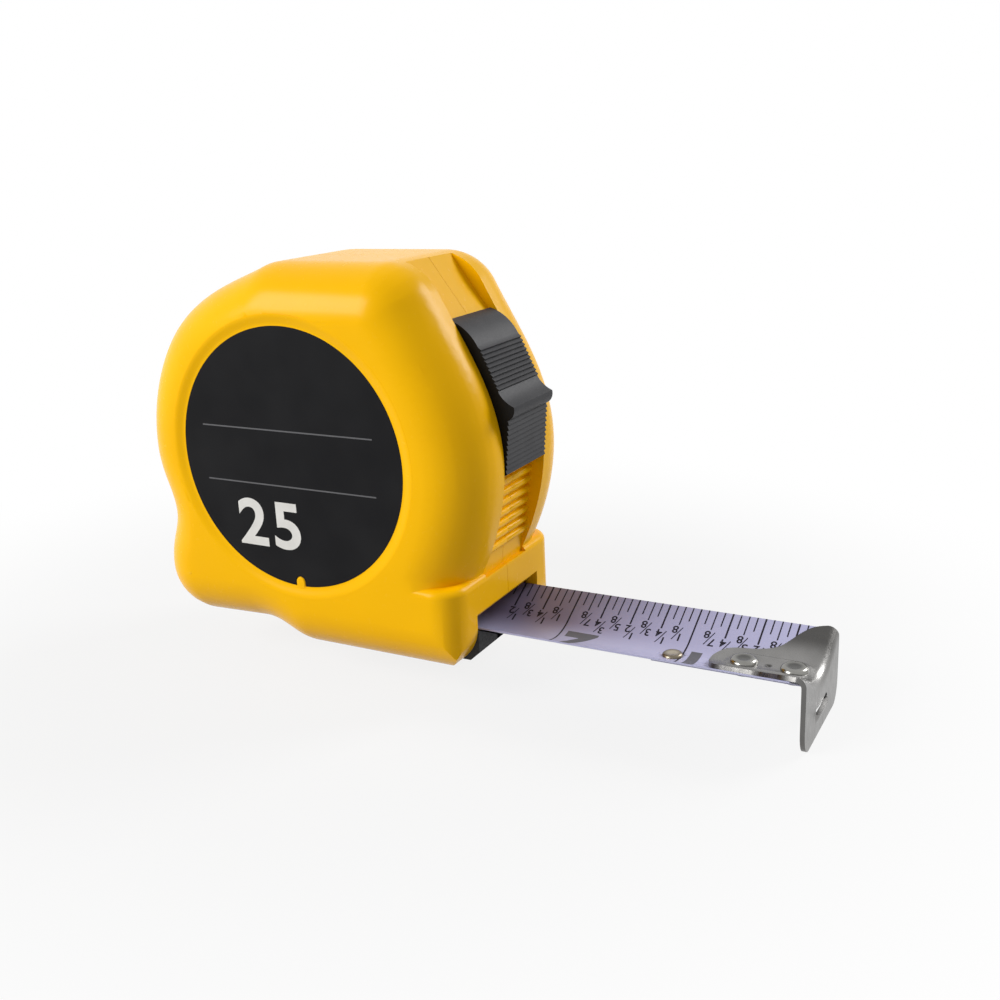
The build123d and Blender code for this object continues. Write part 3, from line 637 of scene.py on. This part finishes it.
def makeClawPlan(form):
    endU = claw["legStart"] + claw["legFlat"]
    side = [claw["tip"]] + [(x * mm, y * mm) for x, y in claw["flare"]]
    side += [(claw["bendStart"], claw["halfWidth"]), (endU, claw["halfWidth"])]
    ring = side + [(u, -y) for u, y in reversed(side)]
    plan = form.faces.new([form.verts.new((u, y, 0)) for u, y in ring])
    corners = [vert for vert in plan.verts if vert.co.x > endU - tiny]
    bmesh.ops.bevel(form, geom=corners, offset=claw["corner"], segments=claw["cornerCuts"],
                    profile=0.5, affect="VERTICES", material=-1)
    curves = [vert for vert in form.verts
              if claw["tip"][0] - tiny < vert.co.x < claw["bendStart"] - tiny]
    bmesh.ops.bevel(form, geom=curves, offset=claw["ease"], segments=claw["easeCuts"],
                    profile=0.5, affect="VERTICES", clamp_overlap=True, material=-1)
    bmesh.ops.delete(form, geom=form.faces[:], context="FACES_ONLY")
    low, high = claw["slitY"] - claw["slitHalf"], claw["slitY"] + claw["slitHalf"]
    top, bottom = claw["slitZ"]
    rise = claw["slitRound"] * (top - bottom)
    slit = [(low, top - rise), (low + rise, top), (high - rise, top), (high, top - rise),
            (high, bottom + rise), (high - rise, bottom), (low + rise, bottom),
            (low, bottom + rise)]
    verts = [form.verts.new((flatU(y, z), y, 0)) for y, z in slit]
    for first, second in zip(verts, verts[1:] + verts[:1]):
        form.edges.new((first, second))
    bmesh.ops.triangle_fill(form, use_beauty=True, use_dissolve=True, edges=form.edges[:])


def sliceUp(form, low, high, cell, axis):
    normal = Vector((0, 0, 0))
    normal[axis] = 1.0
    for index in range(1, round((high - low) / cell)):
        cutAcross(form, normal * (low + index * cell), normal)


# how much painted shade and reflection darkens the hook, 0 to 1, and where each shaded part begins
# and ends
hookShadeAmounts = {
    "wing": 0.92, "wingY": (4.5 * mm, 8.5 * mm), "wingTilt": (0.3, 0.8),
    "tongueEdge": 0.85, "legEdge": 0.55, "edgeTilt": (0.45, 0.75),
    "punchReach": (0.4 * mm, 0.85 * mm), "slitRoom": (0.05 * mm, 0.1 * mm), "slitTilt": 0.6,
}


def inSlit(spot, normal):
    roomY, roomZ = hookShadeAmounts["slitRoom"]
    top, bottom = claw["slitZ"]
    return (spot.x > claw["bendStart"] and abs(spot.y - claw["slitY"]) < claw["slitHalf"] + roomY
            and bottom - roomZ < spot.z < top + roomZ and abs(normal.x) < hookShadeAmounts["slitTilt"])


def hookTone(spot, normal):
    # painted shade and reflection: darker on the raised far wing, on the cut edge towards the
    # label's side, in the slit and in the punch mark
    if inSlit(spot, normal):
        return 1.0
    wing = hookShadeAmounts["wing"] * ease(spot.y, *hookShadeAmounts["wingY"]) * ease(normal.z, *hookShadeAmounts["wingTilt"])
    edge = hookShadeAmounts["tongueEdge"] if spot.x < claw["bendStart"] else hookShadeAmounts["legEdge"]
    cutEdge = edge * ease(-normal.y, *hookShadeAmounts["edgeTilt"])
    punch = 1 - ease(math.hypot(spot.x - claw["dimpleX"], spot.y), *hookShadeAmounts["punchReach"])
    return max(wing, cutEdge, punch)


def makeHook():
    form = bmesh.new()
    makeClawPlan(form)
    cell, fine = claw["cell"], claw["fine"]
    bendCell = (claw["legStart"] - claw["bendStart"]) / claw["bendCells"]
    padHalf = claw["padReach"][1] + fine
    dimpleX, dimpleRoom = claw["dimpleX"], claw["dimpleRoom"]
    sliceUp(form, claw["tip"][0], claw["bendStart"], cell, 0)
    sliceUp(form, claw["bendStart"], claw["legStart"], bendCell, 0)
    sliceUp(form, claw["legStart"], claw["legStart"] + claw["legFlat"], cell, 0)
    sliceUp(form, -claw["halfWidth"], claw["halfWidth"], cell, 1)
    sliceUp(form, dimpleX - dimpleRoom, dimpleX + dimpleRoom, fine, 0)
    sliceUp(form, -padHalf, padHalf, fine, 1)
    for vert in form.verts:
        vert.co = clawPlace(vert.co.x, vert.co.y)
    form.normal_update()
    tongue = max(form.faces, key=lambda face: -face.calc_center_median().x)
    if tongue.normal.z < 0:
        bmesh.ops.reverse_faces(form, faces=form.faces)
    bmesh.ops.solidify(form, geom=form.faces[:], thickness=-claw["thick"])
    bmesh.ops.recalc_face_normals(form, faces=form.faces)
    shadeSmooth(form, claw["sharpAngle"])
    piece = addPiece(form, "hookPlate", "hookNickel", "hook")
    paintTone(piece.data, hookTone)
    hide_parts("end_hook")


makeHook()
print("hook made")

# rivets: a flat dished top with a round rim, a shank, and a tail spread under the plate
rivets = {
    "hookRivets": {"node": "hook_rivets", "places": claw["rivetX"], "finish": "rivetSteel",
                   "head": 2.5 * mm, "face": 1.70 * mm, "rise": 0.85 * mm,
                   "seat": claw["gap"] + claw["thick"] + claw["pad"], "shank": 1.18 * mm},
    "stiffenerRivet": {"node": "stiffener_rivet", "places": (69.5 * mm,), "finish": "rivetBrass",
                       "head": 1.95 * mm, "face": 1.35 * mm, "rise": 0.65 * mm, "seat": 0.0,
                       "shank": 0.98 * mm},
}
# the half section: the dish and the rim below the top, the seat, and the tail above its end
section = {
    "dish": ((0.0, 0.16 * mm), (0.6, 0.12 * mm), (1.0, 0.0)),
    "brow": ((0.35, 0.02 * mm), (0.75, 0.20 * mm)), "side": 0.52 * mm, "sunk": 0.15 * mm,
    "tail": ((0.0, 0.45 * mm), (0.8 * mm, 0.30 * mm), (0.6 * mm, 0.05 * mm)),
    "turns": 40, "sharpAngle": math.radians(55), "toneReach": (0.80, 1.08),
}
troughZ = blade["axisZ"] - blade["radius"]


def addRivet(form, x, look, tailZ):
    seat = troughZ + look["seat"]
    top = seat + look["rise"]
    face, head, shank = look["face"], look["head"], look["shank"]
    profile = [(share * face, top - drop) for share, drop in section["dish"]]
    profile += [(face + share * (head - face), top - drop) for share, drop in section["brow"]]
    profile += [(head, top - section["side"])]
    profile += [(reach, seat - section["sunk"]) for reach in (head, shank)]
    profile += [(shank + reach, tailZ + rise) for reach, rise in section["tail"]]
    profile += [(0.0, tailZ)]
    verts = [form.verts.new((x + reach, 0, z)) for reach, z in profile]
    edges = [form.edges.new(pair) for pair in zip(verts, verts[1:])]
    bmesh.ops.spin(form, geom=verts + edges, cent=(x, 0, 0), axis=(0, 0, 1), steps=section["turns"],
                   angle=2 * math.pi, use_merge=True)


# painted reflection: the dished face is drawn darker on the steel rivets; on the brass rivet it
# goes lighter
def rivetTone(places, face):
    inner, outer = section["toneReach"]

    def rule(spot, normal):
        away = min(math.hypot(spot.x - x, spot.y) for x in places)
        return 1 - ease(away, inner * face, outer * face)
    return rule


for name, look in rivets.items():
    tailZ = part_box(look["node"])[0].z
    form = bmesh.new()
    for x in look["places"]:
        addRivet(form, x, look, tailZ)
    bmesh.ops.remove_doubles(form, verts=form.verts, dist=tiny)
    bmesh.ops.recalc_face_normals(form, faces=form.faces)
    shadeSmooth(form, section["sharpAngle"])
    piece = addPiece(form, name, look["finish"], "blade")
    paintTone(piece.data, rivetTone(look["places"], look["face"]))
    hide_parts(look["node"])
print("rivets made")

# the label: a dished yellow rim, a black face, two fine rules and the plain number
labelLow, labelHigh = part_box("label_disc")
label = {
    "radius": labelHigh.x, "faceY": labelLow.y, "backY": labelHigh.y, "turns": 160,
    "edge": 0.06 * mm, "edgeCuts": 2, "printHeight": 0.02 * mm,
    "ruleX": (-20.5 * mm, 19.5 * mm), "ruleZ": (46.1 * mm, 35.1 * mm), "ruleWidth": 0.28 * mm,
    "number": "25", "numberPlace": (-6.4 * mm, 27.0 * mm), "numberHeight": 9.8 * mm,
    "numberBold": 0.022, "numberStretch": 1.12, "numberSpread": 1.14,
}


def layOnLabel(form, name, finishName):
    stand = Matrix.Translation((0, label["faceY"] - label["printHeight"], 0))
    bmesh.ops.transform(form, verts=form.verts, matrix=stand @ Matrix.Rotation(math.pi / 2, 4, "X"))
    addPiece(form, name, finishName, "case")


# the dished rim closes the step between the label and the case's side
dish = {"inner": 25.65 * mm, "outer": 28.0 * mm, "lowY": label["faceY"] + 0.02 * mm,
        "highY": -21.008 * mm, "back": -20.2 * mm, "axisZ": 40.5 * mm, "cuts": 12, "turns": 144,
        "sharpAngle": math.radians(40)}


def makeDish():
    form = bmesh.new()
    wide, deep = dish["outer"] - dish["inner"], dish["highY"] - dish["lowY"]
    shares = [index / dish["cuts"] for index in range(dish["cuts"] + 1)]
    profile = [(dish["inner"] + wide * share, dish["lowY"] + deep * ease(share, 0.0, 1.0))
               for share in shares]
    profile += [(dish["outer"], dish["back"]), (dish["inner"], dish["back"])]
    verts = [form.verts.new((reach, y, dish["axisZ"])) for reach, y in profile]
    edges = [form.edges.new(pair) for pair in zip(verts, verts[1:] + verts[:1])]
    bmesh.ops.spin(form, geom=verts + edges, cent=(0, 0, dish["axisZ"]), axis=(0, 1, 0),
                   steps=dish["turns"], angle=2 * math.pi, use_merge=True)
    bmesh.ops.remove_doubles(form, verts=form.verts, dist=tiny)
    bmesh.ops.recalc_face_normals(form, faces=form.faces)
    shadeSmooth(form, dish["sharpAngle"])
    addPiece(form, "labelRim", "caseYellow", "case")


makeDish()


def plateForm(outline, faceY, backY, edge, edgeCuts):
    # a flat plate with the given outline and a softened front edge
    form = bmesh.new()
    form.faces.new([form.verts.new((x, backY, z)) for x, z in outline])
    grown = bmesh.ops.extrude_face_region(form, geom=form.faces[:])["geom"]
    front = [item for item in grown if isinstance(item, bmesh.types.BMVert)]
    bmesh.ops.translate(form, verts=front, vec=(0, faceY - backY, 0))
    rim = [item for item in form.edges
           if all(abs(vert.co.y - faceY) < tiny for vert in item.verts)]
    bmesh.ops.bevel(form, geom=rim, offset=edge, segments=edgeCuts, profile=0.5, affect="EDGES",
                    clamp_overlap=True, material=-1)
    bmesh.ops.recalc_face_normals(form, faces=form.faces)
    squareOn = 0.995
    for face in form.faces:
        face.smooth = abs(face.normal.y) < squareOn
    bmesh.ops.triangulate(form, faces=[face for face in form.faces if len(face.verts) > 4])
    return form


def labelOutline():
    notch = tabOutline(tab["gap"])
    start = math.asin(notch[0][0] / label["radius"])
    turns = [start + (2 * math.pi - 2 * start) * step / label["turns"]
             for step in range(label["turns"] + 1)]
    ring = [(label["radius"] * math.sin(turn), dish["axisZ"] - label["radius"] * math.cos(turn))
            for turn in turns]
    return ring + notch[::-1]


tabShape = [(tab["half"], tab["foot"])] + tabOutline(0.0) + [(-tab["half"], tab["foot"])]
form = plateForm(tabShape, tab["faceY"], tab["backY"], tab["round"], tab["roundCuts"])
addPiece(form, "labelKey", "caseYellow", "case")
form = plateForm(labelOutline(), label["faceY"], label["backY"], label["edge"], label["edgeCuts"])
labelFace = addPiece(form, "labelFace", "labelBlack", "case")
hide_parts("label_disc")

form = bmesh.new()
left, right = label["ruleX"]
for z in label["ruleZ"]:
    low, high = z - label["ruleWidth"] / 2, z + label["ruleWidth"] / 2
    corners = ((left, low), (right, low), (right, high), (left, high))
    form.faces.new([form.verts.new((x, z, 0)) for x, z in corners])
layOnLabel(form, "labelRules", "labelGrey")

form = bmesh.new()
addLetters(form, label["number"], label["numberHeight"], label["numberBold"], label["numberPlace"],
           False, stretch=label["numberStretch"], spread=label["numberSpread"])
layOnLabel(form, "labelNumber", "labelWhite")
print("label printed")

# floor and backdrop: the floor glows to the camera, less so near the case, where its shadow shows
studio = {"floorZ": cadBox[0][2] - 0.1 * mm, "floorSize": 6.0, "floorGrey": 0.50,
          "floorRoughness": 0.9, "floorGlow": (0.84, 1.0), "glowReach": (0.06, 0.17),
          "skyStrength": 0.30}


def makeFloor():
    form = bmesh.new()
    bmesh.ops.create_grid(form, x_segments=1, y_segments=1, size=studio["floorSize"] / 2)
    bmesh.ops.translate(form, verts=form.verts, vec=(0, 0, studio["floorZ"]))
    floor = addObject("floor", meshFrom(form, "floor"))
    material, tree, shader, place = startFinish("floorWhite")
    plug(tree, shader, "Base Color", opaque((studio["floorGrey"],) * 3))
    plug(tree, shader, "Roughness", studio["floorRoughness"])
    plug(tree, shader, "Specular IOR Level", 0.0)
    output = next(n for n in tree.nodes if n.type == "OUTPUT_MATERIAL")
    glow = addNode(tree, "ShaderNodeEmission")
    away = addNode(tree, "ShaderNodeVectorMath", operation="LENGTH")
    plug(tree, away, 0, place)
    share = remap(tree, away.outputs["Value"], studio["glowReach"], studio["floorGlow"],
                  smooth=True)
    mixer = addNode(tree, "ShaderNodeMixShader")
    plug(tree, mixer, 0, calculate(tree, "MULTIPLY", share, lookedAt(tree)))
    tree.links.new(shader.outputs["BSDF"], mixer.inputs[1])
    tree.links.new(glow.outputs["Emission"], mixer.inputs[2])
    tree.links.new(mixer.outputs["Shader"], output.inputs["Surface"])
    floor.data.materials.append(material)


makeFloor()
print("floor laid")

# two soft lamps, in metres and watts
lamps = {
    "key": {"place": (-0.468, -0.630, 0.481), "aim": (0.0, 0.0, 0.04), "size": 0.45, "watts": 7.8},
    "side": {"place": (0.468, 0.561, 0.474), "aim": (0.02, 0.0, 0.04), "size": 0.35, "watts": 5.0},
}


def aimed(place, aim, roll=0.0):
    direction = Vector(aim) - Vector(place)
    turn = direction.to_track_quat("-Z", "Y").to_matrix().to_4x4()
    return Matrix.Translation(place) @ turn @ Matrix.Rotation(roll, 4, "Z")


for name, lamp in lamps.items():
    light = bpy.data.lights.new(name, "AREA")
    light.shape = "SQUARE"
    light.size = lamp["size"]
    light.energy = lamp["watts"]
    addObject(name, light).matrix_world = aimed(lamp["place"], lamp["aim"])

world = bpy.data.worlds.new("softRoom")
world.use_nodes = True
bpy.context.scene.world = world
sky = world.node_tree
sky.nodes.clear()
skyOut = addNode(sky, "ShaderNodeOutputWorld")
background = addNode(sky, "ShaderNodeBackground")
plug(sky, background, "Color", opaque((1.0, 1.0, 1.0)))
brightness = remap(sky, lookedAt(sky), (0.0, 1.0), (studio["skyStrength"], 1.0))
plug(sky, background, "Strength", brightness)
sky.links.new(background.outputs["Background"], skyOut.inputs["Surface"])
print("lights set")

# the camera looks from the front right, a little from above
view = {
    "eye": (138.51 * mm, -190.01 * mm, 96.91 * mm), "aim": (23.53 * mm, 19.49 * mm, 23.47 * mm),
    "roll": math.radians(-2.56), "lens": 42.06, "sensor": 36.0, "near": 10 * mm,
}
camera = bpy.data.cameras.new("camera")
camera.lens = view["lens"]
camera.sensor_width = view["sensor"]
camera.clip_start = view["near"]
cameraHolder = addObject("camera", camera)
cameraHolder.matrix_world = aimed(view["eye"], view["aim"], view["roll"])
bpy.context.scene.camera = cameraHolder
bpy.context.scene.view_settings.view_transform = "Standard"
print("camera placed")

bpy.context.view_layer.update()
